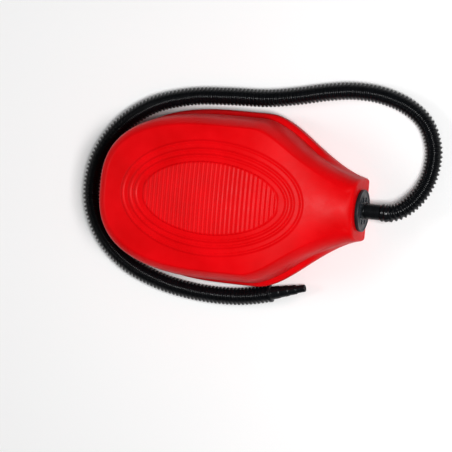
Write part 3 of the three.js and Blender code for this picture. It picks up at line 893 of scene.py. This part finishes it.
AHEAD = (1, 0, 0)
FITTING_MIDDLE = (NECK_X, 0, FITTING_Z)
FLANGE_RADIUS = 0.0225
FLANGE_BACK = 0.0016
FLANGE_FRONT = 0.0040
RECESS_FACE = 0.0034
SPIGOT_RADIUS = 0.0187
SPIGOT_BORE = 0.0165
SPIGOT_END = -0.0140
PORT_BORE = 0.0055
PORT_BACK = -0.0070
PORT_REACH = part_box("valve_flange")[1][0] - NECK_X
TUBE_START = 0.0041
SLOT_COUNT = 8
SLOT_INNER = 0.0098
SLOT_OUTER = 0.0155
SLOT_WIDTH = 0.0054
SLOT_CUT_FROM = -0.002
SLOT_CUT_TO = 0.008
SLOT_END_STEPS = 9


def slot_cutter(index):
    """A bar with rounded ends that cuts one intake slot through the flange."""
    outline = []
    half = SLOT_WIDTH / 2
    for middle, start in ((SLOT_OUTER - half, 0), (SLOT_INNER + half, math.pi)):
        for turn in np.linspace(start, start + math.pi, SLOT_END_STEPS):
            outline.append((half * math.cos(turn), middle + half * math.sin(turn)))
    angle = 2 * math.pi * (index + 0.5) / SLOT_COUNT
    points = []
    for x in (NECK_X + SLOT_CUT_FROM, NECK_X + SLOT_CUT_TO):
        for across, out in outline:
            y = across * math.cos(angle) - out * math.sin(angle)
            z = across * math.sin(angle) + out * math.cos(angle)
            points.append((x, y, FITTING_Z + z))
    count = len(outline)
    faces = [tuple(reversed(range(count))), tuple(range(count, 2 * count)), *grid_faces(2, count)]
    return points, faces


def all_slot_cutters():
    points, faces = [], []
    for index in range(SLOT_COUNT):
        more_points, more_faces = slot_cutter(index)
        faces += [tuple(k + len(points) for k in face) for face in more_faces]
        points += more_points
    mesh = bpy.data.meshes.new("slots")
    mesh.from_pydata(points, [], faces)
    holder = bpy.data.objects.new("slots", mesh)
    bpy.context.scene.collection.objects.link(holder)
    return holder


def make_fitting():
    """The flange with its intake slots, the port tube through it, and the spigot inside the neck."""
    outline = [
        (PORT_BACK, PORT_BORE),
        (PORT_BACK, PORT_RADIUS),
        (FLANGE_BACK, PORT_RADIUS),
        (FLANGE_BACK, SPIGOT_BORE),
        (SPIGOT_END, SPIGOT_BORE),
        (SPIGOT_END, SPIGOT_RADIUS),
        (FLANGE_BACK, SPIGOT_RADIUS),
        (FLANGE_BACK, FLANGE_RADIUS),
        (FLANGE_FRONT, FLANGE_RADIUS),
        (FLANGE_FRONT, 0.0212),
        (RECESS_FACE, 0.0206),
        (RECESS_FACE, 0.0164),
        (FLANGE_FRONT, 0.0158),
        (FLANGE_FRONT, SLOT_INNER),
        (0.0056, PORT_RADIUS),
        (PORT_REACH, PORT_RADIUS),
        (PORT_REACH, PORT_BORE),
    ]
    outline = rounded(outline, 0.0004)
    fitting = turned_ring(
        "intake_fitting", outline, FITTING_MIDDLE, AHEAD, FITTING_BLACK
    )
    holder = all_slot_cutters()
    cut = fitting.modifiers.new("slots", "BOOLEAN")
    cut.operation = "DIFFERENCE"
    cut.solver = "EXACT"
    cut.object = holder
    graph = bpy.context.evaluated_depsgraph_get()
    mesh = bpy.data.meshes.new_from_object(fitting.evaluated_get(graph))
    fitting.modifiers.clear()
    fitting.data = mesh
    mesh.set_sharp_from_angle(angle=math.radians(35))
    mesh.materials.append(TUBE_BLACK)
    for face in mesh.polygons:
        place = face.center
        from_axis = math.hypot(place.y, place.z - FITTING_Z)
        on_tube = from_axis < SLOT_INNER and place.x > NECK_X + TUBE_START
        face.material_index = 1 if on_tube else 0
    bpy.data.objects.remove(holder)
    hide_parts("valve_flange")
    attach(fitting, "base")


def ring_outline(back, front, inner, outer):
    """A plain ring's section, with its corners just broken."""
    return rounded([(back, inner), (back, outer), (front, outer), (front, inner)], 0.0002, steps=2)


SEAL_OUTLINE = ring_outline(0.0003, 0.0013, 0.0194, 0.0220)
LOCK_OUTLINE = ring_outline(-0.0090, -0.0040, 0.0190, 0.0204)
FLAP_OUTLINE = ring_outline(0.0004, 0.0013, 0.00855, 0.0161)
RETAINER_OUTLINE = ring_outline(-0.0034, -0.0019, 0.00855, 0.0125)
SEAT_CORNERS = [
    (-0.0090, 0.0032),
    (-0.0090, 0.0080),
    (-0.0073, 0.0080),
    (-0.0073, 0.0052),
    (-0.0045, 0.0052),
    (-0.0045, 0.0032),
]
SEAT_OUTLINE = rounded(SEAT_CORNERS, 0.0002, steps=2)
# Each ring's node, section, material, the record's material slot, and body.
VALVE_RINGS = [
    ("flange_seal", SEAL_OUTLINE, GREY_RUBBER, "grey_rubber", "base"),
    ("lock_ring", LOCK_OUTLINE, FITTING_BLACK, "black_plastic", "base"),
    ("intake_flap", FLAP_OUTLINE, GREY_RUBBER, "grey_rubber", "intake_valve"),
    ("flap_retainer", RETAINER_OUTLINE, PALE, "pale_plastic", "base"),
    ("outlet_seat", SEAT_OUTLINE, PALE, "pale_plastic", "base"),
]


def make_valves():
    """Finer rings for the seal, the clamp and the valves. The outlet flap keeps its CAD shape."""
    for node, outline, material, slot, body in VALVE_RINGS:
        ring = turned_ring(f"{node}_fine", outline, FITTING_MIDDLE, AHEAD, material)
        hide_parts(node)
        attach(ring, body)
    flap = bpy.data.objects["outlet_flap"]
    flap.data.materials.clear()
    flap.data.materials.append(GREY_RUBBER)


make_fitting()
make_valves()


# ---- The return spring between its cups ----

SPRING_X = NECK_X - CREST_DEPTH
SPRING_RADIUS = 0.026
SPRING_WIRE = 0.0019
SPRING_TURNS = 6.5
SPRING_SIDES = 14
SPRING_STEPS = 520


def make_spring():
    """A coil of round wire, as tall as the CAD spring, standing between the two cups."""
    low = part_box("return_spring")[0][2] + SPRING_WIRE
    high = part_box("return_spring")[1][2] - SPRING_WIRE
    t = np.linspace(0, 1, SPRING_STEPS)
    turn = 2 * math.pi * SPRING_TURNS * t
    along = SPRING_X + SPRING_RADIUS * np.cos(turn)
    across = SPRING_RADIUS * np.sin(turn)
    centre = np.column_stack([along, across, mix(low, high, t)])
    points = tube_rings(centre, np.full(len(centre), SPRING_WIRE), SPRING_SIDES).reshape(-1, 3)
    last = len(points) - SPRING_SIDES
    faces = [face[::-1] for face in grid_faces(len(centre), SPRING_SIDES)]
    faces += [tuple(range(SPRING_SIDES)), tuple(reversed(range(last, last + SPRING_SIDES)))]
    spring = new_piece("coil_spring", points, faces, STEEL)
    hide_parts("return_spring")
    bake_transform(spring)


def make_cup(node, body, height, direction):
    """A round cup that seats one end of the spring, open upwards or downwards."""
    outline = [
        (0.0000, 0.0060),
        (0.0000, 0.0320),
        (0.0060, 0.0320),
        (0.0060, 0.0295),
        (0.0030, 0.0295),
        (0.0030, 0.0060),
    ]
    outline = rounded(outline, 0.0004)
    axis = (0, 0, direction)
    cup = turned_ring(f"{node}_fine", outline, (SPRING_X, 0, height), axis, PALE)
    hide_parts(node)
    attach(cup, body)


make_spring()
make_cup("lower_spring_cup", "base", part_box("lower_spring_cup")[0][2], 1)
make_cup("upper_spring_cup", "upper_lobe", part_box("upper_spring_cup")[1][2], -1)


# ---- Floor and light ----

FLOOR_HALF_SIZE = 6.0
# Each softbox's place, its two sides and its power in watts.
SOFTBOXES = {
    "overhead": ((0.9, 0.0, 1.75), (0.5, 0.5), 38),
    "left": ((-1.6, 0.0, 1.2), (0.9, 0.7), 11),
    "right": ((1.7, -0.4, 0.7), (0.5, 0.5), 0.8),
}
WORLD_STRENGTH = 0.13
VIEW_GAMMA = 0.85


def make_floor():
    mesh = bpy.data.meshes.new("floor")
    signs = ((-1, -1), (1, -1), (1, 1), (-1, 1))
    corners = [(x * FLOOR_HALF_SIZE, y * FLOOR_HALF_SIZE, 0) for x, y in signs]
    mesh.from_pydata(corners, [], [(0, 1, 2, 3)])
    mesh.materials.append(pale_floor())
    floor = bpy.data.objects.new("floor", mesh)
    bpy.context.scene.collection.objects.link(floor)


def add_softbox(name, place, size, power):
    """A rectangular area light that faces the origin."""
    light = bpy.data.lights.new(name, "AREA")
    light.shape = "RECTANGLE"
    light.size, light.size_y = size
    light.energy = power
    box = bpy.data.objects.new(name, light)
    bpy.context.scene.collection.objects.link(box)
    aim = (-Vector(place)).to_track_quat("-Z", "Y")
    box.matrix_world = Matrix.Translation(place) @ aim.to_matrix().to_4x4()


def make_light():
    for name, (place, size, power) in SOFTBOXES.items():
        add_softbox(name, place, size, power)
    world = bpy.data.worlds.new("studio")
    world.use_nodes = True
    sky = world.node_tree.nodes["Background"]
    sky.inputs["Color"].default_value = (1, 1, 1, 1)
    sky.inputs["Strength"].default_value = WORLD_STRENGTH
    bpy.context.scene.world = world
    bpy.context.scene.view_settings.view_transform = "Standard"
    bpy.context.scene.view_settings.gamma = VIEW_GAMMA


make_floor()
make_light()
